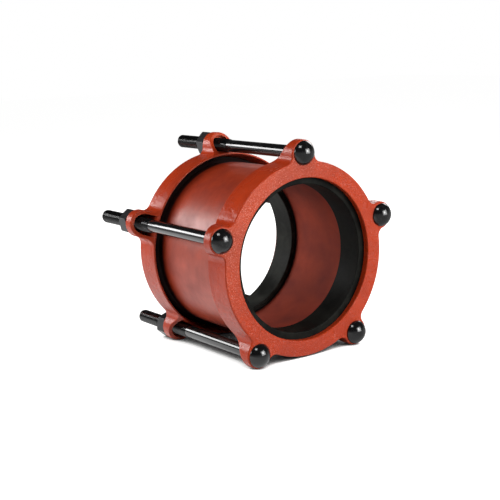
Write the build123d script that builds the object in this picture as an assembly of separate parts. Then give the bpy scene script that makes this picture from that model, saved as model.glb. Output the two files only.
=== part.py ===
from build123d import *
from math import asin, atan2, cos, isclose, pi, radians, sin, tan
import os

# A bolted transition coupling for two pipes of different outside diameter.
# The pipe axis is Y, the bolt heads face -Y, Z is up, and the origin is the
# middle of the sleeve on the pipe axis. All sizes are in millimetres.

# Center sleeve
sleeve_length = 140.0
sleeve_bore_radius = 92.5
sleeve_wall = 7.0
flare_rise = 4.0  # how far the mouth stands out from the sleeve's side
flare_length = 7.0
flare_slope_length = 4.5
flare_round = 1.5
mouth_lip = 4.0  # width of the flat end face
mouth_depth = 10.0  # length of the cone that the gasket is pressed into

# End rings
opening_radius = 92.0
opening_round = 1.0
plate_thickness = 8.0
ring_depth = 33.0
skirt_wall = 5.8
skirt_flare = 4.4  # how much wider the skirt is inside at its lip
skirt_seat_length = 6.0  # straight part of the skirt past the plate
draft_angle = 1.0
seat_gap = 10.5  # from the plate to the sleeve's end, with the nuts run up by hand
seat_clearance = 0.3

# Bolt lugs of the end rings
bolt_count = 5
first_bolt_angle = 90.0
lug_radius = 16.0
lug_inset = 1.2  # the lug's middle lies this much inside the bolt circle
lug_wall = 3.6
lug_floor = 10.0  # wall that the bolt head or the nut bears on
lug_tip_depth = 12.3
lug_rim_hollow = 3.0  # how far a lug's rim curves in below a straight slope
lug_blend_radius = 9.0
pocket_round = 2.0
face_round = 1.8
rim_round = 1.2

# Gaskets
front_pipe_bore_radius = 84.2
rear_pipe_bore_radius = 86.0
gasket_length = 33.0
heel_overhang = 1.0  # the heel is this much wider than the sleeve's mouth
heel_length = 7.0
heel_round = 2.0
wedge_lead = 2.5  # how far the wedge starts outside the sleeve
wedge_clearance = 0.3
nose_clearance = 0.6
nose_round = 1.4
bore_round = 1.2

# Bolts and nuts
thread_radius = 7.85
shank_radius = 7.2
bolt_length = 247.0  # under the head
thread_length = 107.0
thread_end_bevel = 1.6
thread_run_out = 1.2
head_radius = 13.6
head_height = 10.0
head_edge = 1.2
neck_length = 20.4
neck_height = 9.0
hole_clearance = 0.5
bolt_gap = 0.5  # from the skirt's lip to the thread
nut_sides = 6
nut_across_flats = 27.0
nut_height = 15.5
nut_bevel_angle = 30.0
nut_bore_clearance = 0.15
nut_rest_angles = (12.0, 40.0, 25.0, 5.0, 33.0)

# How far a cut runs on past the face that it opens
cut_margin = 1.0

# Places worked out from the sizes above
half_sleeve = sleeve_length / 2
half_coupling = half_sleeve + seat_gap + plate_thickness
sleeve_end = plate_thickness + seat_gap
sleeve_radius = sleeve_bore_radius + sleeve_wall
flare_radius = sleeve_radius + flare_rise
mouth_radius = flare_radius - mouth_lip
heel_radius = flare_radius + heel_overhang
seat_radius = heel_radius + seat_clearance
ring_radius = seat_radius + skirt_wall
lip_radius = ring_radius + ring_depth * tan(radians(draft_angle))
bolt_circle_radius = lip_radius + bolt_gap + thread_radius
lug_circle_radius = bolt_circle_radius - lug_inset
lug_tip_radius = lug_circle_radius + lug_radius
pocket_radius = lug_radius - lug_wall


def turned(corners):
    """Solid of revolution about local Z from (radius, height) or (radius, height, round)."""
    section = make_face(Polyline(*[corner[:2] for corner in corners], close=True))
    for radius, height, size in [corner for corner in corners if len(corner) == 3]:
        rounded = section.vertices().sort_by_distance((radius, height))[0]
        section = fillet(rounded, size)
    return revolve(Plane.XZ * section, Axis.Z)


def on_circle(radius, shape):
    """One copy of a flat shape for each bolt, its X pointing outwards, as one sketch."""
    places = PolarLocations(radius, bolt_count, start_angle=first_bolt_angle)
    return Sketch(children=[place * shape for place in places])


def on_bolt_axis(angle, y, piece):
    """Places a piece that points along local Z on a bolt axis, pointing to +Y."""
    a = radians(angle)
    origin = (bolt_circle_radius * cos(a), y, bolt_circle_radius * sin(a))
    return Plane(origin, x_dir=(-sin(a), 0, cos(a)), z_dir=(0, 1, 0)) * piece


def at_rear(piece):
    """Puts a piece made from its end ring's outer face inwards at the rear end."""
    return Plane((0, half_coupling, 0), x_dir=(1, 0, 0), z_dir=(0, -1, 0)) * piece


def at_front(piece):
    return mirror(at_rear(piece), about=Plane.XZ)


def center_sleeve():
    """Cast tube, flared outside and opened to a cone inside at both mouths."""
    flare_start = half_sleeve - flare_length
    half = turned(
        [
            (sleeve_bore_radius, 0),
            (sleeve_radius, 0),
            (sleeve_radius, flare_start, flare_round),
            (flare_radius, flare_start + flare_slope_length, flare_round),
            (flare_radius, half_sleeve),
            (mouth_radius, half_sleeve),
            (sleeve_bore_radius, half_sleeve - mouth_depth),
        ]
    )
    whole = half + mirror(half, about=Plane.XY)
    return Rot(-90, 0, 0) * whole


def ring_blank():
    """The ring with its round lugs blended in, drafted, with the outer face's edge rounded."""
    outline = Circle(ring_radius) + on_circle(lug_circle_radius, Circle(lug_radius)).faces()
    outline = fillet(outline.vertices(), lug_blend_radius)
    blank = extrude(outline, ring_depth + cut_margin, taper=-draft_angle)
    return fillet(blank.faces().sort_by(Axis.Z)[0].edges(), face_round)


def rim_scoop():
    """What the open side lacks: a hollow slope from the lip of the skirt to the lug tips."""
    lip = Vector(ring_radius, ring_depth)
    tip = Vector(lug_tip_radius, lug_tip_depth)
    inwards = (tip - lip).rotate(Axis.Z, -90).normalized()
    slope = ThreePointArc(lip, (lip + tip) / 2 + inwards * lug_rim_hollow, tip)
    return revolve(Plane.XZ * Pos(slope.arc_center) * Circle(slope.radius), Axis.Z)


def lug_pockets():
    """The hollows of the lugs, closed towards the skirt by the skirt's own wall."""
    inner_end = Pos(-lug_radius, 0) * Rectangle(2 * lug_radius, 2 * pocket_radius)
    outline = on_circle(lug_circle_radius, Circle(pocket_radius) + inner_end)
    skirt = turned([(0, 0), (ring_radius, 0), (lip_radius, ring_depth), (0, ring_depth)])
    pockets = extrude(Pos(0, 0, lug_floor) * outline, ring_depth - lug_floor) - skirt
    return fillet(pockets.faces().group_by(Axis.Z)[0].edges(), pocket_round)


def end_ring():
    """One casting, from its outer face at Z = 0 to the lip of its skirt."""
    body = ring_blank() - rim_scoop()
    slope = body.faces().filter_by(GeomType.TORUS).sort_by(Axis.Z)[-1]
    rim = slope.edges().filter_by(lambda edge: edge.bounding_box().max.Z < ring_depth)
    body = split(fillet(rim, rim_round), Plane.XY.offset(ring_depth), keep=Keep.BOTTOM)

    # opening for the pipe, and the seat for the gasket and the sleeve's mouth
    lip_bore_radius = seat_radius + skirt_flare
    body -= turned(
        [
            (0, -cut_margin),
            (opening_radius, -cut_margin),
            (opening_radius, plate_thickness),
            (seat_radius, plate_thickness),
            (seat_radius, plate_thickness + skirt_seat_length),
            (lip_bore_radius, ring_depth),
            (lip_bore_radius, ring_depth + cut_margin),
            (0, ring_depth + cut_margin),
        ]
    )
    circles = body.edges().filter_by(GeomType.CIRCLE)
    body = fillet(circles.filter_by(lambda edge: isclose(edge.radius, opening_radius)), opening_round)
    body -= lug_pockets()

    # oval holes that keep the bolts from turning
    long_side = neck_length + 2 * hole_clearance
    hole = Rot(0, 0, 90) * SlotOverall(long_side, 2 * (thread_radius + hole_clearance))
    return body - extrude(on_circle(bolt_circle_radius, hole), lug_floor + pocket_round)


def gasket(bore_radius):
    """Wedge ring, from its heel against the end ring's plate to its nose."""
    slope = (mouth_radius - sleeve_bore_radius) / mouth_depth
    offset = wedge_clearance / cos(atan2(slope, 1))
    wedge_start = sleeve_end - wedge_lead
    wedge_radius = mouth_radius + slope * wedge_lead - offset
    nose_radius = sleeve_bore_radius - nose_clearance
    wedge_end = sleeve_end + (mouth_radius - offset - nose_radius) / slope
    nose_end = plate_thickness + gasket_length
    return turned(
        [
            (bore_radius, plate_thickness, bore_round),
            (heel_radius, plate_thickness, heel_round),
            (heel_radius, plate_thickness + heel_length, heel_round),
            (wedge_radius, wedge_start),
            (nose_radius, wedge_end),
            (nose_radius, nose_end, nose_round),
            (bore_radius, nose_end, bore_round),
        ]
    )


def bolt():
    """Domed head, oval neck, plain shank and thread, from under the head along Z."""
    cap_height = head_height - head_edge
    cap_radius = (head_radius**2 + cap_height**2) / (2 * cap_height)
    half_way = asin(head_radius / cap_radius) / 2
    crown = (cap_radius * sin(half_way), cap_radius * (1 - cos(half_way)) - head_height)
    dome = ThreePointArc((head_radius, -head_edge), crown, (0, -head_height))
    side = Polyline((0, -head_height), (0, 0), (head_radius, 0), (head_radius, -head_edge))
    head = revolve(Plane.XZ * make_face([dome, side]), Axis.Z)
    neck = extrude(SlotOverall(neck_length, 2 * thread_radius), neck_height)
    thread_start = bolt_length - thread_length
    rod = turned(
        [
            (0, 0),
            (shank_radius, 0),
            (shank_radius, thread_start - thread_run_out),
            (thread_radius, thread_start),
            (thread_radius, bolt_length - thread_end_bevel),
            (thread_radius - thread_end_bevel, bolt_length),
            (0, bolt_length),
        ]
    )
    return head + neck + rod


def nut():
    """Hex nut with bevelled corners, standing on Z = 0."""
    flat = nut_across_flats / 2
    corner = flat / cos(pi / nut_sides)
    corner_drop = (corner - flat) * tan(radians(nut_bevel_angle))
    bevelled = turned(
        [
            (0, 0),
            (flat, 0),
            (corner, corner_drop),
            (corner, nut_height - corner_drop),
            (flat, nut_height),
            (0, nut_height),
        ]
    )
    blank = extrude(RegularPolygon(corner, nut_sides), nut_height) & bevelled
    return blank - extrude(Circle(thread_radius + nut_bore_clearance), nut_height)


os.makedirs("parts", exist_ok=True)

ring = end_ring()
pieces = {
    "center_sleeve": center_sleeve(),
    "front_end_ring": at_front(ring),
    "rear_end_ring": at_rear(ring),
    "front_gasket": at_front(gasket(front_pipe_bore_radius)),
    "rear_gasket": at_rear(gasket(rear_pipe_bore_radius)),
}
for i in range(bolt_count):
    bolt_angle = first_bolt_angle - i * 360 / bolt_count
    rest_angle = nut_rest_angles[i % len(nut_rest_angles)]
    pieces[f"bolt_{i + 1}"] = on_bolt_axis(bolt_angle, -half_coupling, bolt())
    pieces[f"nut_{i + 1}"] = on_bolt_axis(bolt_angle, half_coupling, Rot(0, 0, rest_angle) * nut())

for name, piece in pieces.items():
    piece.label = name
    export_step(piece, f"parts/{name}.step")
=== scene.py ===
import math

import bpy
from mathutils import Matrix, Vector


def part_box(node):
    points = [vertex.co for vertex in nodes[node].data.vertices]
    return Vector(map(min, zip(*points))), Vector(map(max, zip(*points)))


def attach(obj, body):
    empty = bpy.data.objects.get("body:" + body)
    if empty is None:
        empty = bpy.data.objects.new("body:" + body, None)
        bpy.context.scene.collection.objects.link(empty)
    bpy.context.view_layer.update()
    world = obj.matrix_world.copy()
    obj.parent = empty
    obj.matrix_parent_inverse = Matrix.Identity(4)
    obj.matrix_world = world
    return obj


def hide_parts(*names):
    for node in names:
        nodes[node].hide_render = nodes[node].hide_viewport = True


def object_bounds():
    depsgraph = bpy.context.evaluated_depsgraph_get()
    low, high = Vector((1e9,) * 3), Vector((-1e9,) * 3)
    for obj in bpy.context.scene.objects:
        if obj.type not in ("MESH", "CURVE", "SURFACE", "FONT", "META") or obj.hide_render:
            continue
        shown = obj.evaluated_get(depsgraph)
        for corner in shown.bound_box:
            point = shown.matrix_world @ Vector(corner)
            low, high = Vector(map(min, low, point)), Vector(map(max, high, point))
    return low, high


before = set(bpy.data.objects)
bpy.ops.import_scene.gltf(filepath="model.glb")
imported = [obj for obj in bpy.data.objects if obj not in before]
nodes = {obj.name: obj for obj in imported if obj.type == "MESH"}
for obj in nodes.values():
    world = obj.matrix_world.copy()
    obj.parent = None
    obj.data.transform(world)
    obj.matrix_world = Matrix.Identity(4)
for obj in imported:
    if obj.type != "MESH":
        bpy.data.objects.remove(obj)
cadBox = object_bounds()
boltNames = sorted(name for name in nodes if name.startswith("bolt_"))
nutNames = sorted(name for name in nodes if name.startswith("nut_"))
mm = 0.001
print("frame loaded:", len(nodes), "nodes,", len(boltNames), "bolts")


# modelling helpers

spunDoubles = 0.002 * mm  # points of a spun profile closer than this are one
booleanDoubles = 0.004 * mm
origin = (0, 0, 0)
alongY = (math.pi / 2, 0, 0)  # lays a primitive's own axis along Y


def deselectAll():
    if bpy.context.object and bpy.context.object.mode != "OBJECT":
        bpy.ops.object.mode_set(mode="OBJECT")
    bpy.ops.object.select_all(action="DESELECT")


def makeActive(piece):
    deselectAll()
    piece.select_set(True)
    bpy.context.view_layer.objects.active = piece


# leaves the whole mesh selected in edit mode
def editAll(piece):
    makeActive(piece)
    bpy.ops.object.mode_set(mode="EDIT")
    bpy.ops.mesh.select_all(action="SELECT")


# leaves the piece in edit mode with only what passes the test selected
def pick(piece, kind, test):
    makeActive(piece)
    bpy.ops.object.mode_set(mode="EDIT")
    bpy.ops.mesh.select_mode(type=kind)
    bpy.ops.mesh.select_all(action="DESELECT")
    bpy.ops.object.mode_set(mode="OBJECT")
    mesh = piece.data
    if kind == "VERT":
        for vert in mesh.vertices:
            vert.select = test(vert.co)
    elif kind == "FACE":
        for face in mesh.polygons:
            face.select = test(face.center, face.normal)
    else:
        for edge in mesh.edges:
            edge.select = test(*(mesh.vertices[i].co for i in edge.vertices))
    bpy.ops.object.mode_set(mode="EDIT")


def applyPlace():
    bpy.ops.object.transform_apply(location=True, rotation=True, scale=True)


# a string of vertices through points of (radius, length along Y)
def drawProfile(name, points):
    deselectAll()
    bpy.ops.mesh.primitive_plane_add(size=mm)
    piece = bpy.context.object
    piece.name = piece.data.name = name
    bpy.ops.object.mode_set(mode="EDIT")
    bpy.ops.mesh.select_mode(type="VERT")
    bpy.ops.mesh.merge(type="CENTER")
    bpy.ops.transform.translate(value=(*points[0], 0))
    for last, point in zip(points, points[1:]):
        step = (point[0] - last[0], point[1] - last[1], 0)
        bpy.ops.mesh.extrude_vertices_move(TRANSFORM_OT_translate={"value": step})
    bpy.ops.mesh.select_all(action="SELECT")
    return piece


# merges a spun profile's doubles and turns its faces outwards
def closeUp(piece):
    bpy.ops.mesh.select_all(action="SELECT")
    bpy.ops.mesh.remove_doubles(threshold=spunDoubles)
    bpy.ops.mesh.normals_make_consistent(inside=False)
    bpy.ops.object.mode_set(mode="OBJECT")
    return piece


# the profile spun once round the Y axis
def turnProfile(name, points, steps):
    piece = drawProfile(name, points)
    bpy.ops.mesh.spin(steps=steps, angle=math.tau, center=origin, axis=(0, 1, 0))
    return closeUp(piece)


def combine(piece, other, operation):
    makeActive(piece)
    modifier = piece.modifiers.new(operation, "BOOLEAN")
    modifier.operation = operation
    modifier.solver = "EXACT"
    modifier.object = other
    bpy.ops.object.modifier_apply(modifier=modifier.name)
    bpy.data.objects.remove(other, do_unlink=True)


# merges what a boolean leaves doubled, drops faces of no width, and shades the rest
def finishMesh(piece, smoothAngle):
    editAll(piece)
    bpy.ops.mesh.remove_doubles(threshold=booleanDoubles)
    bpy.ops.mesh.dissolve_degenerate(threshold=booleanDoubles)
    makeActive(piece)
    bpy.ops.object.shade_smooth_by_angle(angle=math.radians(smoothAngle))


# a copy with its own mesh, its place put into the mesh
def placeCopy(master, name, matrix):
    piece = master.copy()
    piece.data = master.data.copy()
    piece.name = piece.data.name = name
    bpy.context.scene.collection.objects.link(piece)
    piece.matrix_world = matrix
    makeActive(piece)
    applyPlace()
    return piece


# shader helpers

noiseMiddle = 0.5  # what a noise texture gives on average


def newNode(tree, kind, x, y, **settings):
    node = tree.nodes.new(kind)
    node.location = (x, y)
    for key, value in settings.items():
        setattr(node, key, value)
    return node


# links another node's output to a socket, or gives the socket a plain value
def connect(tree, value, socket):
    if isinstance(value, bpy.types.NodeSocket):
        tree.links.new(value, socket)
    else:
        socket.default_value = value


def feed(node, **values):
    for label, value in values.items():
        node.inputs[label].default_value = value
    return node


def objectPlace(tree, x, y):
    return newNode(tree, "ShaderNodeTexCoord", x, y).outputs["Object"]


def splitVector(tree, x, y, vector):
    node = newNode(tree, "ShaderNodeSeparateXYZ", x, y)
    tree.links.new(vector, node.inputs[0])
    return node.outputs


def combineVectors(tree, x, y, operation, a, b):
    node = newNode(tree, "ShaderNodeVectorMath", x, y, operation=operation)
    for socket, value in zip(node.inputs, (a, b)):
        connect(tree, value, socket)
    return node.outputs["Value"]


def noise(tree, x, y, vector, scale, detail=2.0, roughness=0.5):
    node = feed(newNode(tree, "ShaderNodeTexNoise", x, y), Detail=detail, Roughness=roughness)
    connect(tree, vector, node.inputs["Vector"])
    connect(tree, scale, node.inputs["Scale"])
    return node.outputs["Fac"]


# spreads fromLow..fromHigh over toLow..toHigh
def spread(tree, x, y, value, fromLow, fromHigh, toLow, toHigh):
    node = newNode(tree, "ShaderNodeMapRange", x, y)
    tree.links.new(value, node.inputs["Value"])
    feed(node, **{"From Min": fromLow, "From Max": fromHigh, "To Min": toLow, "To Max": toHigh})
    return node.outputs["Result"]


def blendColours(tree, x, y, factor, colourA, colourB):
    node = newNode(tree, "ShaderNodeMix", x, y, data_type="RGBA")
    tree.links.new(factor, node.inputs["Factor"])
    for socket, colour in ((node.inputs[6], colourA), (node.inputs[7], colourB)):
        connect(tree, (*colour, 1) if isinstance(colour, tuple) else colour, socket)
    return node.outputs[2]


def calculate(tree, x, y, operation, a, b=None):
    node = newNode(tree, "ShaderNodeMath", x, y, operation=operation)
    for socket, value in zip(node.inputs, (a, b)):
        if value is not None:
            connect(tree, value, socket)
    return node.outputs[0]


def mixShaders(tree, x, y, factor, first, second):
    node = newNode(tree, "ShaderNodeMixShader", x, y)
    for socket, output in zip(node.inputs, (factor, first.outputs[0], second.outputs[0])):
        tree.links.new(output, socket)
    return node


def addBump(tree, shader, height, look):
    bump = newNode(tree, "ShaderNodeBump", -250, -300)
    feed(bump, Strength=look["bumpStrength"], Distance=look["bumpDepth"])
    tree.links.new(height, bump.inputs["Height"])
    tree.links.new(bump.outputs["Normal"], shader.inputs["Normal"])


def newGroup(name, inputs, outputs):
    tree = bpy.data.node_groups.new(name, "ShaderNodeTree")
    for label, default in inputs.items():
        socket = tree.interface.new_socket(label, in_out="INPUT", socket_type="NodeSocketFloat")
        socket.default_value = default
    for label in outputs:
        tree.interface.new_socket(label, in_out="OUTPUT", socket_type="NodeSocketFloat")
    start = newNode(tree, "NodeGroupInput", -900, 0)
    end = newNode(tree, "NodeGroupOutput", 600, 0)
    return tree, start.outputs, end.inputs


def useGroup(tree, group, x, y, values):
    return feed(newNode(tree, "ShaderNodeGroup", x, y, node_tree=group), **values).outputs


def newMaterial(name):
    material = bpy.data.materials.new(name)
    material.use_nodes = True
    tree = material.node_tree
    return material, tree, tree.nodes["Principled BSDF"]


def dress(node, material):
    node.material_slots[0].material = material


# shared effects

castLook = {
    "patchScale": 22,
    "tonePlaces": (0.3, 0.7),  # patch noise that gives the deep colour, and the bright
    "pitPlaces": (0.52, 0.66),  # patch noise where pits begin to come, and where all do
    "pitSize": (0.08, 0.22),  # a pit's floor and rim, in the spacing of the pits
    "pitDepth": 0.8,
    "squareOn": (0.8, 0.98),  # a normal's share along Y on faces square to the pipe
    # grain heights where the painted sparkle begins, and is full
    "sparkleGrain": (0.55, 0.68),
    "sparkleLeast": 0.15,
}
scuffLook = {
    "markGrain": (0.5, 0.75),
    "zoneScale": 40,
    "zonePlaces": (0.45, 0.65),
}


# sand-cast skin under paint: soft lumps, the sand's grain and a few pits, and a mask of painted
# sparkle on the highest grains
def castSkinGroup(look):
    tree, given, out = newGroup(
        "castSkin",
        {"Lump Scale": 60, "Grain Scale": 900, "Pit Scale": 300, "Face Grain": 1, "Side Grain": 1},
        ("Height", "Tone", "Pits", "Sparkle"))
    place = objectPlace(tree, -900, 300)
    lumps = noise(tree, -600, 300, place, given["Lump Scale"])
    grain = noise(tree, -600, 60, place, given["Grain Scale"])
    patches = noise(tree, -600, -180, place, look["patchScale"], detail=3, roughness=0.6)
    cells = newNode(tree, "ShaderNodeTexVoronoi", -600, -420)
    tree.links.new(place, cells.inputs["Vector"])
    tree.links.new(given["Pit Scale"], cells.inputs["Scale"])
    # pits only come in some places
    pits = spread(tree, -400, -420, cells.outputs["Distance"], *look["pitSize"], 1, 0)
    chosen = spread(tree, -400, -180, patches, *look["pitPlaces"], 0, 1)
    pits = calculate(tree, -200, -420, "MULTIPLY", pits, chosen)
    # the sand's grain stands out more on faces square to the pipe
    normal = newNode(tree, "ShaderNodeNewGeometry", -900, -700).outputs["True Normal"]
    share = calculate(tree, -500, -700, "ABSOLUTE", splitVector(tree, -700, -700, normal)["Y"])
    square = spread(tree, -300, -700, share, *look["squareOn"], 0, 1)
    grainDepth = calculate(tree, -100, -700, "MULTIPLY", square, given["Face Grain"])
    grainDepth = calculate(tree, -200, -850, "ADD", grainDepth, given["Side Grain"])
    raised = calculate(tree, -400, 60, "SUBTRACT", grain, noiseMiddle)
    raised = calculate(tree, -200, 60, "MULTIPLY", raised, grainDepth)
    sunk = calculate(tree, 0, -100, "MULTIPLY", pits, look["pitDepth"])
    height = calculate(tree, 0, 200, "ADD", lumps, raised)
    height = calculate(tree, 200, 200, "SUBTRACT", height, sunk)
    # painted highlight: pale sparkle on the highest grains
    sparkles = spread(tree, -400, -1000, grain, *look["sparkleGrain"], look["sparkleLeast"], 1)
    sparkles = calculate(tree, -200, -1000, "MULTIPLY", sparkles, square)
    tree.links.new(height, out["Height"])
    tree.links.new(spread(tree, 200, 0, patches, *look["tonePlaces"], 0, 1), out["Tone"])
    tree.links.new(pits, out["Pits"])
    tree.links.new(sparkles, out["Sparkle"])
    return tree


# where an edge turns: the rounded normal leaves the true one
def edgeGroup():
    tree, given, out = newGroup("edgeLight", {"Radius": 1 * mm, "Gain": 4}, ("Mask",))
    rounded = newNode(tree, "ShaderNodeBevel", -600, 100, samples=6)
    tree.links.new(given["Radius"], rounded.inputs["Radius"])
    plain = newNode(tree, "ShaderNodeNewGeometry", -600, -100).outputs["Normal"]
    dot = combineVectors(tree, -400, 0, "DOT_PRODUCT", rounded.outputs["Normal"], plain)
    turn = calculate(tree, -200, 0, "SUBTRACT", 1, dot)
    mask = calculate(tree, 0, 0, "MULTIPLY", turn, given["Gain"])
    tree.links.new(calculate(tree, 200, 0, "MINIMUM", mask, 1), out["Mask"])
    return tree


# handling marks and dried smears on a coated surface
def scuffGroup(look):
    tree, given, out = newGroup("scuffs", {"Scale": 250}, ("Mask", "Height"))
    place = objectPlace(tree, -900, 300)
    fine = noise(tree, -600, 200, place, given["Scale"], detail=4, roughness=0.65)
    broad = noise(tree, -600, -50, place, look["zoneScale"])
    marks = spread(tree, -300, 200, fine, *look["markGrain"], 0, 1)
    zone = spread(tree, -300, -50, broad, *look["zonePlaces"], 0, 1)
    tree.links.new(calculate(tree, 0, 100, "MULTIPLY", marks, zone), out["Mask"])
    tree.links.new(fine, out["Height"])
    return tree


castSkin = castSkinGroup(castLook)
edgeLight = edgeGroup()
scuffs = scuffGroup(scuffLook)


# lays a painted highlight along rounded edges over a material's own colour
def paintEdgeHighlights(tree, colour, look):
    edge = useGroup(tree, edgeLight, -900, -600,
                    {"Radius": look["edgeRadius"], "Gain": look["edgeGain"]})
    highlitEdge = calculate(tree, -600, -600, "MULTIPLY", edge["Mask"], look["edgeHighlightAmount"])
    return blendColours(tree, -200, 200, highlitEdge, colour, look["edge"])


print("shared effects ready:", len(bpy.data.node_groups))


# red paint on the castings

ringPaint = {
    "deep": (0.40, 0.034, 0.008),
    "bright": (0.57, 0.052, 0.011),
    "pit": (0.20, 0.022, 0.010),
    # painted highlight along the rounded edges
    "edge": (0.66, 0.17, 0.10),
    # painted sparkle on the highest grains
    "paintedSparkle": (0.90, 0.34, 0.24),
    "sparkleAmount": (0.06, 0.62),  # least and most
    "sparkleTowards": (-0.75, 0, 0.66),  # the side where the painted sparkle is strongest
    "sparkleReach": (0.02, 0.10),  # how far that way it begins, and is full
    # the colour of the painted shade in the hollows
    "hollow": (0.035, 0.007, 0.005),
    "hollowReach": 14 * mm,
    "hollowShade": (0.2, 0.62),  # openness of a hollow whose painted shade is full, and of one that has none
    "edgeRadius": 1.2 * mm,
    "edgeGain": 4,
    "edgeHighlightAmount": 0.5,
    "lumpScale": 160,
    "grainScale": 680,
    "faceGrain": 2.4,
    "sideGrain": 0.5,
    "pitScale": 500,
    "roughness": (0.34, 0.22),  # of the deep colour, and of the bright
    "dullFacing": (0.72, 0.88),  # how nearly edge-on the paint begins to dull, and is all dull
    "dullRoughness": 0.85,
    "bumpStrength": 0.7,
    "bumpDepth": 0.7 * mm,
    "gloss": 0.25,
}
sleevePaint = {
    **ringPaint,
    "deep": (0.24, 0.019, 0.005),
    "bright": (0.50, 0.052, 0.013),
    "lumpScale": 38,
    "grainScale": 220,
    "roughness": (0.52, 0.34),
    "bumpStrength": 0.45,
    "bumpDepth": 0.6 * mm,
    "gloss": 0.55,
    # painted shade: black in the gap under the end rings and inside by the gaskets' noses
    "mouthShadeColour": (0.006, 0.004, 0.004),
    "mouthStart": (53 * mm, 57 * mm),  # outside, from the sleeve's middle, either way
    "boreStart": (43 * mm, 47 * mm),  # inside, the same
    "boreLimit": (93 * mm, 96 * mm),  # across the wall, from bore to outside
    # painted shade: the bore's darker, browner colour
    "boreShadeColour": (0.14, 0.022, 0.010),
    "boreShadeAmount": 0.35,
    "boreRoughness": 0.85,
}


# painted shade: black at the mouths, inside and out, and a bore painted darker and browner than the
# outside; the bore is also duller
def paintMouthShade(tree, place, colour, rough, look):
    split = splitVector(tree, -1000, 500, place)
    along = calculate(tree, -800, 500, "ABSOLUTE", split["Y"])
    squareX = calculate(tree, -900, 900, "MULTIPLY", split["X"], split["X"])
    squareZ = calculate(tree, -900, 1000, "MULTIPLY", split["Z"], split["Z"])
    across = calculate(tree, -800, 900, "ADD", squareX, squareZ)
    across = calculate(tree, -700, 900, "SQRT", across)
    bore = spread(tree, -600, 900, across, *look["boreLimit"], 1, 0)
    brown = calculate(tree, -500, 900, "MULTIPLY", bore, look["boreShadeAmount"])
    colour = blendColours(tree, -50, 500, brown, colour, look["boreShadeColour"])
    outside = spread(tree, -600, 500, along, *look["mouthStart"], 0, 1)
    inside = spread(tree, -600, 1200, along, *look["boreStart"], 0, 1)
    inside = calculate(tree, -400, 1200, "MULTIPLY", bore, inside)
    black = calculate(tree, -200, 700, "MAXIMUM", outside, inside)
    colour = blendColours(tree, -100, 400, black, colour, look["mouthShadeColour"])
    dull = calculate(tree, -500, 1000, "MULTIPLY", bore, look["boreRoughness"])
    return colour, calculate(tree, -200, -100, "MAXIMUM", rough, dull)


def redPaint(name, look):
    material, tree, shader = newMaterial(name)
    skin = useGroup(tree, castSkin, -900, 0, {
        "Lump Scale": look["lumpScale"], "Grain Scale": look["grainScale"],
        "Pit Scale": look["pitScale"], "Face Grain": look["faceGrain"],
        "Side Grain": look["sideGrain"]})
    colour = blendColours(tree, -600, 200, skin["Tone"], look["deep"], look["bright"])
    colour = blendColours(tree, -400, 200, skin["Pits"], colour, look["pit"])
    # painted highlight: the sparkle is strongest on one side, where the light falls
    place = objectPlace(tree, -1200, -600)
    towards = combineVectors(tree, -1000, -600, "DOT_PRODUCT", place, look["sparkleTowards"])
    amount = spread(tree, -800, -600, towards, *look["sparkleReach"], *look["sparkleAmount"])
    sparkleMask = calculate(tree, -600, -200, "MULTIPLY", skin["Sparkle"], amount)
    colour = blendColours(tree, -300, 200, sparkleMask, colour, look["paintedSparkle"])
    colour = paintEdgeHighlights(tree, colour, look)
    # painted shade: a dark colour deep in the hollows, where shade falls
    hollow = newNode(tree, "ShaderNodeAmbientOcclusion", -900, 700, samples=8, only_local=True)
    feed(hollow, Distance=look["hollowReach"])
    hollowShadeMask = spread(tree, -600, 700, hollow.outputs["AO"], *look["hollowShade"], 1, 0)
    colour = blendColours(tree, -150, 300, hollowShadeMask, colour, look["hollow"])
    rough = spread(tree, -400, -100, skin["Tone"], 0, 1, *look["roughness"])
    # painted shade at the sleeve's mouths and in its bore
    if "mouthShadeColour" in look:
        colour, rough = paintMouthShade(tree, place, colour, rough, look)
    # paint seen edge-on is duller, so that lamps behind it leave no white glare
    facing = newNode(tree, "ShaderNodeLayerWeight", -600, -900).outputs["Facing"]
    dull = spread(tree, -400, -900, facing, *look["dullFacing"], 0, look["dullRoughness"])
    rough = calculate(tree, -100, -150, "MAXIMUM", rough, dull)
    tree.links.new(colour, shader.inputs["Base Color"])
    tree.links.new(rough, shader.inputs["Roughness"])
    addBump(tree, shader, skin["Height"], look)
    shader.inputs["Specular IOR Level"].default_value = look["gloss"]
    return material


dress(nodes["front_end_ring"], redPaint("redPaintFront", ringPaint))
dress(nodes["rear_end_ring"], redPaint("redPaintRear", ringPaint))
dress(nodes["center_sleeve"], redPaint("redPaintSleeve", sleevePaint))


# black rubber of the gaskets

rubberLook = {
    # painted highlight along the rounded edges
    "edge": (0.06, 0.062, 0.056),
    "edgeRadius": 1.0 * mm,
    "edgeGain": 5,
    "edgeHighlightAmount": 0.6,
    "bloomScale": 35,
    "bloomPlaces": (0.4, 0.7),
    "roughness": (0.5, 0.65),  # of clean rubber, and of bloomed
    "gloss": 0.06,
    "lineWidth": 1.1 * mm,
    "lineWaver": 0.4,
    "lineDepth": 0.3,  # against the grain
    "grainScale": 1500,
    "bumpStrength": 0.25,
    "bumpDepth": 0.15 * mm,
}
# the front gasket's copy of the rubber, painted darker as painted shade
shadedRubberLook = {
    **rubberLook,
    "base": (0.005, 0.0052, 0.0046),
    "bloom": (0.018, 0.019, 0.016),
}
# the rear gasket's copy, painted paler as painted light; both keep the rubber's own bloom patches
litRubberLook = {
    **rubberLook,
    "base": (0.013, 0.0136, 0.012),
    "bloom": (0.042, 0.045, 0.040),
}
waveLength = math.pi / 10  # of a wave texture at scale 1


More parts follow.
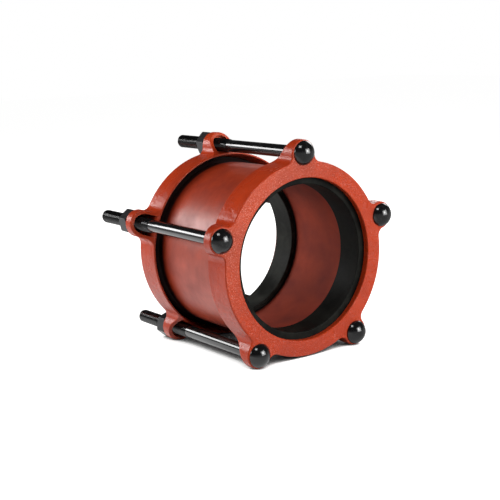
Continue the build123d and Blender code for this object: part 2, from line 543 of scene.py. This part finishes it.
def rubber(name, look):
    material, tree, shader = newMaterial(name)
    place = objectPlace(tree, -1200, 0)
    # fine lines round the pipe axis, left by the mould's turning
    lines = newNode(tree, "ShaderNodeTexWave", -900, 200, bands_direction="Y")
    tree.links.new(place, lines.inputs["Vector"])
    feed(lines, Scale=waveLength / look["lineWidth"], Distortion=look["lineWaver"])
    grain = noise(tree, -900, -50, place, look["grainScale"], detail=3)
    bloom = noise(tree, -900, -300, place, look["bloomScale"], detail=4, roughness=0.6)
    patch = spread(tree, -600, -300, bloom, *look["bloomPlaces"], 0, 1)
    colour = blendColours(tree, -500, 200, patch, look["base"], look["bloom"])
    tree.links.new(paintEdgeHighlights(tree, colour, look), shader.inputs["Base Color"])
    rough = spread(tree, -300, 0, patch, 0, 1, *look["roughness"])
    tree.links.new(rough, shader.inputs["Roughness"])
    shader.inputs["Specular IOR Level"].default_value = look["gloss"]
    ridges = calculate(tree, -700, 150, "MULTIPLY", lines.outputs["Fac"], look["lineDepth"])
    addBump(tree, shader, calculate(tree, -600, 50, "ADD", ridges, grain), look)
    return material


dress(nodes["front_gasket"], rubber("shadedRubber", shadedRubberLook))
dress(nodes["rear_gasket"], rubber("litRubber", litRubberLook))


# black coating of the bolts and nuts

def blackCoat(name, look):
    material, tree, shader = newMaterial(name)
    shader.inputs["IOR"].default_value = look["ior"]
    marks = useGroup(tree, scuffs, -700, 0, {"Scale": look["scuffScale"]})
    colour = blendColours(tree, -400, 200, marks["Mask"], look["base"], look["scuff"])
    rough = spread(tree, -400, 0, marks["Mask"], 0, 1, *look["roughness"])
    tree.links.new(colour, shader.inputs["Base Color"])
    tree.links.new(rough, shader.inputs["Roughness"])
    addBump(tree, shader, marks["Height"], look)
    return material


boltCoat = blackCoat("boltCoat", {
    "base": (0.006, 0.006, 0.0065),
    "scuff": (0.03, 0.03, 0.031),
    "ior": 1.6,
    "scuffScale": 260,
    "roughness": (0.13, 0.32),  # clean, and scuffed
    "bumpStrength": 0.12,
    "bumpDepth": 0.1 * mm,
})
nutCoat = blackCoat("nutCoat", {
    "base": (0.014, 0.0142, 0.016),
    "scuff": (0.05, 0.05, 0.052),
    "ior": 1.4,
    "scuffScale": 420,
    "roughness": (0.36, 0.55),
    "bumpStrength": 0.2,
    "bumpDepth": 0.12 * mm,
})
print("materials ready:", len(bpy.data.materials))


# bolts: domed head, oval neck, plain shank, rolled thread

bolt = {
    "shankRadius": 7.2 * mm,
    "threadRadius": 7.85 * mm,
    "threadLength": 107 * mm,
    "pitch": 25.4 / 11 * mm,  # 11 threads to the inch
    "threadDepth": 0.5413,  # this and the next four are in pitches
    "crestWidth": 0.125,
    "flankWidth": 0.3125,
    "coreDepth": 0.6,  # of the rod inside the thread, below its crests
    "coreReach": 1.5,
    "threadSteps": 40,
    "spareTurns": 3,
    "runOut": 1.2 * mm,
    "tipBevel": 1.6 * mm,
    "headEdge": 1.2 * mm,
    "headEdgeRound": 0.3 * mm,
    "headRings": 64,
    "neckLength": 20.4 * mm,
    "neckHeight": 9 * mm,
    "neckMiddle": 0.1 * mm,  # the neck's vertices nearer the middle than this stay
    "spare": 0.02 * mm,  # how far the thread's limit stands off its crests
    "roundSteps": 96,
    "edgeSteps": 3,
    "smoothAngle": 32,
}


# a cap of a ball, cut level, with a short upright edge and its underside at the origin
def modelHead(size, radius, height):
    edge = size["headEdge"]
    capHeight = height - edge
    ballRadius = (radius ** 2 + capHeight ** 2) / (2 * capHeight)
    downRod = 0.99  # least share along Y of a normal that points down the rod
    nearOrigin = 0.5 * mm
    deselectAll()
    bpy.ops.mesh.primitive_uv_sphere_add(
        segments=size["roundSteps"], ring_count=size["headRings"], radius=ballRadius,
        location=(0, ballRadius - height, 0), rotation=alongY)
    piece = bpy.context.object
    piece.name = "boltMaster"
    applyPlace()
    editAll(piece)
    bpy.ops.mesh.bisect(plane_co=(0, -edge, 0), plane_no=(0, 1, 0), clear_outer=True, use_fill=True)
    pick(piece, "FACE", lambda center, normal: normal.y > downRod)
    bpy.ops.mesh.extrude_region_move(TRANSFORM_OT_translate={"value": (0, edge, 0)})
    bpy.ops.mesh.bevel(offset=size["headEdgeRound"], segments=size["edgeSteps"], affect="EDGES")
    # the underside is left selected for the shank
    pick(piece, "FACE", lambda center, normal: normal.y > downRod and center.length < nearOrigin)
    return piece


# half of a round bar's vertices moved aside, either way
def modelNeck(size):
    radius, height = size["threadRadius"], size["neckHeight"]
    deselectAll()
    bpy.ops.mesh.primitive_cylinder_add(
        vertices=size["roundSteps"], radius=radius, depth=height,
        location=(0, height / 2, 0), rotation=alongY)
    neck = bpy.context.object
    applyPlace()
    reach = size["neckLength"] / 2 - radius
    for side in (1, -1):
        pick(neck, "VERT", lambda co: co.x * side > size["neckMiddle"])
        bpy.ops.transform.translate(value=(side * reach, 0, 0))
    bpy.ops.object.mode_set(mode="OBJECT")
    return neck


# one pitch of the profile screwed along the rod, then cut to the thread's two ends
def modelThread(size, start, end):
    crest, pitch, over = size["threadRadius"], size["pitch"], size["spare"]
    root = crest - size["threadDepth"] * pitch
    flat, flank = size["crestWidth"] * pitch, size["flankWidth"] * pitch
    run = [(root, 0), (root, flat), (crest, flat + flank), (crest, 2 * flat + flank),
           (root, 2 * flat + 2 * flank), (root, pitch)]
    thread = drawProfile("threadMaster", [(radius, end + pitch + y) for radius, y in run])
    turns = math.ceil(size["threadLength"] / pitch) + size["spareTurns"]
    bpy.ops.mesh.screw(steps=size["threadSteps"], turns=turns, center=origin, axis=(0, 1, 0))
    # the screw comes out left-handed, so it is turned over into a right-hand thread
    bpy.ops.mesh.select_all(action="SELECT")
    bpy.ops.transform.resize(value=(-1, 1, 1), center_override=origin)
    closeUp(thread)
    for y, side in ((start, 1), (end, -1)):
        editAll(thread)
        bpy.ops.mesh.bisect(
            plane_co=(0, y, 0), plane_no=(0, side, 0), clear_inner=True, use_fill=True)
        bpy.ops.object.mode_set(mode="OBJECT")
    limit = turnProfile("threadLimit", [
        (0, start - size["runOut"]),
        (size["shankRadius"], start - size["runOut"]),
        (crest + over, start + size["runOut"]),
        (crest + over, end - size["tipBevel"]),
        (crest - size["tipBevel"], end + over),
        (0, end + over),
    ], size["roundSteps"])
    combine(thread, limit, "INTERSECT")
    return thread


# built with the head's underside at the origin and the rod along +Y
def modelBolt(size):
    low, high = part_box("bolt_1")
    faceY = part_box("front_end_ring")[0].y
    radius, length = (high.x - low.x) / 2, high.y - faceY
    threadStart = length - size["threadLength"]
    shank, pitch = size["shankRadius"], size["pitch"]
    core = size["threadRadius"] - size["coreDepth"] * pitch
    piece = modelHead(size, radius, faceY - low.y)
    # the plain shank grows out of the head's underside, and thins into the thread
    bpy.ops.mesh.inset(thickness=radius - size["headEdgeRound"] - shank)
    for run in (threadStart, size["coreReach"] * pitch):
        bpy.ops.mesh.extrude_region_move(TRANSFORM_OT_translate={"value": (0, run, 0)})
    bpy.ops.transform.resize(value=(core / shank, 1, core / shank))
    bpy.ops.object.mode_set(mode="OBJECT")
    combine(piece, modelNeck(size), "UNION")
    combine(piece, modelThread(size, threadStart, length), "UNION")
    finishMesh(piece, size["smoothAngle"])
    return piece


boltMaster = modelBolt(bolt)
for name in boltNames:
    low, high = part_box(name)
    axisX, axisZ = (low.x + high.x) / 2, (low.z + high.z) / 2
    place = Matrix.Translation((axisX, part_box("front_end_ring")[0].y, axisZ))
    # the neck's long side lies along the bolt circle
    turn = -math.atan2(axisZ, axisX) - math.pi / 2
    piece = placeCopy(boltMaster, "threaded_" + name, place @ Matrix.Rotation(turn, 4, "Y"))
    piece.data.materials.append(boltCoat)
    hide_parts(name)
    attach(piece, "front_ring")
bpy.data.objects.remove(boltMaster, do_unlink=True)
print("bolts modelled:", len(boltNames))


# nuts: bevelled hexagons with a countersunk bore

nut = {
    "sides": 6,
    "bevelAngle": 30,
    "boreRadius": 8.0 * mm,
    "countersink": 0.9 * mm,
    "edgeRound": 0.4 * mm,
    "spare": 0.2 * mm,  # how far the bevels' cutter stands off the nut
    "roundSteps": 96,
    "edgeSteps": 3,
    "smoothAngle": 25,
}


# from a nut's axis to its farthest corner, across the axis
def cornerOf(name):
    low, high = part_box(name)
    centre = (low + high) / 2
    spokes = [Vector((vert.co.x - centre.x, 0, vert.co.z - centre.z))
              for vert in nodes[name].data.vertices]
    return max(spokes, key=lambda spoke: spoke.length)


# built with its seat on the origin, a corner on +X, standing along +Y
def modelNut(size):
    low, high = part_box("nut_1")
    height = high.y - low.y
    corner = cornerOf("nut_1").length
    halfSide = math.pi / size["sides"]
    flat = corner * math.cos(halfSide)
    slope = math.tan(math.radians(size["bevelAngle"]))
    deselectAll()
    bpy.ops.mesh.primitive_cylinder_add(
        vertices=size["sides"], radius=corner, depth=height,
        location=(0, height / 2, 0), rotation=(math.pi / 2, halfSide, 0))
    piece = bpy.context.object
    piece.name = "nutMaster"
    applyPlace()
    # the six upright corners are rounded before the ends are bevelled
    pick(piece, "EDGE", lambda a, b: abs(a.y - b.y) > height / 2)
    bpy.ops.mesh.bevel(offset=size["edgeRound"], segments=size["edgeSteps"], affect="EDGES")
    bpy.ops.object.mode_set(mode="OBJECT")
    over = size["spare"]
    drop = (corner - flat) * slope + over * slope
    bevels = turnProfile("nutBevels", [
        (0, -over),
        (flat - over / slope, -over),
        (corner + over, drop),
        (corner + over, height - drop),
        (flat - over / slope, height + over),
        (0, height + over),
    ], size["roundSteps"])
    combine(piece, bevels, "INTERSECT")
    # the countersinks' slope runs on past both faces
    bore, sink = size["boreRadius"], size["countersink"]
    cutter = turnProfile("nutBore", [
        (0, -sink),
        (bore + 2 * sink, -sink),
        (bore, sink),
        (bore, height - sink),
        (bore + 2 * sink, height + sink),
        (0, height + sink),
    ], size["roundSteps"])
    combine(piece, cutter, "DIFFERENCE")
    finishMesh(piece, size["smoothAngle"])
    return piece


nutMaster = modelNut(nut)
for name in nutNames:
    low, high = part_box(name)
    spoke = cornerOf(name)
    place = Matrix.Translation(((low.x + high.x) / 2, low.y, (low.z + high.z) / 2))
    turn = math.atan2(-spoke.z, spoke.x)
    piece = placeCopy(nutMaster, "hex_" + name, place @ Matrix.Rotation(turn, 4, "Y"))
    piece.data.materials.append(nutCoat)
    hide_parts(name)
    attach(piece, name)
bpy.data.objects.remove(nutMaster, do_unlink=True)
print("nuts modelled:", len(nutNames))


# floor, backdrop and lamps

stage = {
    "floorSize": 12.0,
    "floorRoughness": 0.9,
    "floorColour": (0.62, 0.61, 0.59),
    # painted contact shadow colour under the object
    "contactShadowColour": (0.08, 0.08, 0.08),
    "floorGlow": 0.97,
    "contactReach": 0.10,  # the glow dies away this near to the object
    "contactShade": (0.14, 0.38),
    "tableMiddle": (-0.35, 0.30, 0),  # reflections see the floor palest here
    "tableReach": (0.35, 0.62),  # and fading over these distances from it
    "tableGlow": 1.5,
    "farGlow": 0.45,
    "ambient": 0.035,
    "studioGlow": 0.4,  # what reflections see round the horizon, and above it
    "studioDark": 0.02,
    "studioFade": (0.0, 0.3),
}
white = (1, 1, 1, 1)


def buildFloor():
    deselectAll()
    bpy.ops.mesh.primitive_plane_add(size=stage["floorSize"], location=(0, 0, cadBox[0][2]))
    floor = bpy.context.object
    floor.name = "studioFloor"
    applyPlace()
    material, tree, shader = newMaterial("studioFloor")
    feed(shader, **{"Roughness": stage["floorRoughness"], "Specular IOR Level": 0})
    # painted contact shadow: a dark floor colour and no glow under the object
    sky = newNode(tree, "ShaderNodeAmbientOcclusion", -1000, -900, samples=12)
    feed(sky, Distance=stage["contactReach"])
    lit = spread(tree, -600, -900, sky.outputs["AO"], *stage["contactShade"], 0, 1)
    colour = blendColours(tree, -300, 100, lit, stage["contactShadowColour"], stage["floorColour"])
    tree.links.new(colour, shader.inputs["Base Color"])
    # reflections see a floor that is pale behind the object and dark in front
    mirrored = newNode(tree, "ShaderNodeEmission", 0, -400)
    away = combineVectors(tree, -800, -400, "DISTANCE",
                          objectPlace(tree, -1000, -400), stage["tableMiddle"])
    fade = spread(tree, -600, -400, away,
                  *stage["tableReach"], stage["tableGlow"], stage["farGlow"])
    fade = calculate(tree, -300, -400, "MULTIPLY", fade, lit)
    tree.links.new(fade, mirrored.inputs["Strength"])
    # the camera sees it lifted to white, with the object's shadow on it
    glow = newNode(tree, "ShaderNodeEmission", 0, -700)
    strength = calculate(tree, -300, -700, "MULTIPLY", lit, stage["floorGlow"])
    tree.links.new(strength, glow.inputs["Strength"])
    lifted = newNode(tree, "ShaderNodeAddShader", 300, -500)
    tree.links.new(shader.outputs[0], lifted.inputs[0])
    tree.links.new(glow.outputs[0], lifted.inputs[1])
    rays = newNode(tree, "ShaderNodeLightPath", -300, 300).outputs
    seen = mixShaders(tree, 500, 0, rays["Is Camera Ray"], shader, lifted)
    bounced = calculate(tree, 300, 300, "MAXIMUM",
                        rays["Is Glossy Ray"], rays["Is Transmission Ray"])
    whole = mixShaders(tree, 700, 0, bounced, seen, mirrored)
    tree.links.new(whole.outputs[0], tree.nodes["Material Output"].inputs["Surface"])
    floor.data.materials.append(material)


def buildWorld():
    world = bpy.data.worlds.new("studio")
    bpy.context.scene.world = world
    world.use_nodes = True
    tree = world.node_tree
    ambient = feed(tree.nodes["Background"], Color=white, Strength=stage["ambient"])
    backdrop = feed(newNode(tree, "ShaderNodeBackground", 0, -200), Color=white, Strength=1)
    # reflections see a pale backdrop low down and a dark studio above it
    direction = newNode(tree, "ShaderNodeTexCoord", -900, -500).outputs["Generated"]
    up = splitVector(tree, -700, -500, direction)["Z"]
    fade = spread(tree, -500, -500, up,
                  *stage["studioFade"], stage["studioGlow"], stage["studioDark"])
    studio = feed(newNode(tree, "ShaderNodeBackground", 0, -400), Color=white)
    tree.links.new(fade, studio.inputs["Strength"])
    rays = newNode(tree, "ShaderNodeLightPath", -300, 300).outputs
    seen = calculate(tree, 0, 300, "MAXIMUM", rays["Is Camera Ray"], rays["Is Transmission Ray"])
    first = mixShaders(tree, 300, 0, rays["Is Glossy Ray"], ambient, studio)
    whole = mixShaders(tree, 500, 0, seen, first, backdrop)
    tree.links.new(whole.outputs[0], tree.nodes["World Output"].inputs["Surface"])


# azimuth from +X towards +Y and elevation above the floor, in degrees, then the distance,
# the softbox's width and height in metres, and its watts
lamps = {
    "overCamera": (-134, 58, 1.3, 0.36, 0.36, 3.6),
    "frontRight": (-67, 16, 1.7, 1.1, 1.0, 20),
    "frontSpot": (-70, 17, 1.6, 0.36, 0.4, 5.5),
    "leftStrip": (136, 18, 1.4, 1.35, 0.38, 16.5),
    "rearFill": (32, 26, 1.5, 0.9, 0.6, 8),
}


def softbox(name, azimuth, elevation, distance, width, height, watts):
    a, e = math.radians(azimuth), math.radians(elevation)
    towards = Vector((math.cos(a) * math.cos(e), math.sin(a) * math.cos(e), math.sin(e)))
    data = bpy.data.lights.new(name, "AREA")
    data.shape = "RECTANGLE"
    data.size, data.size_y = width, height
    data.energy = watts
    lamp = bpy.data.objects.new(name, data)
    bpy.context.scene.collection.objects.link(lamp)
    lamp.location = towards * distance
    lamp.rotation_euler = towards.to_track_quat("Z", "Y").to_euler()


buildFloor()
buildWorld()
for name, values in lamps.items():
    softbox(name, *values)
print("floor, world and lamps ready:", len(lamps), "lamps")


# camera at the photograph's place

view = {
    "location": (-0.744637, -1.015789, 0.244292),
    "turn": -36.61,  # degrees, as the next two
    "tilt": 78.93,
    "roll": -2.05,
    "lens": 78.264,
    "sensor": 36,
    "shift": (-0.033, 0.0018),
}
cameraData = bpy.data.cameras.new("camera")
cameraData.lens = view["lens"]
cameraData.sensor_width = view["sensor"]
cameraData.shift_x, cameraData.shift_y = view["shift"]
camera = bpy.data.objects.new("camera", cameraData)
bpy.context.scene.collection.objects.link(camera)
camera.matrix_world = (Matrix.Translation(view["location"])
                       @ Matrix.Rotation(math.radians(view["turn"]), 4, "Z")
                       @ Matrix.Rotation(math.radians(view["tilt"]), 4, "X")
                       @ Matrix.Rotation(math.radians(view["roll"]), 4, "Z"))
bpy.context.scene.camera = camera
bpy.context.scene.view_settings.view_transform = "Standard"
print("camera ready")
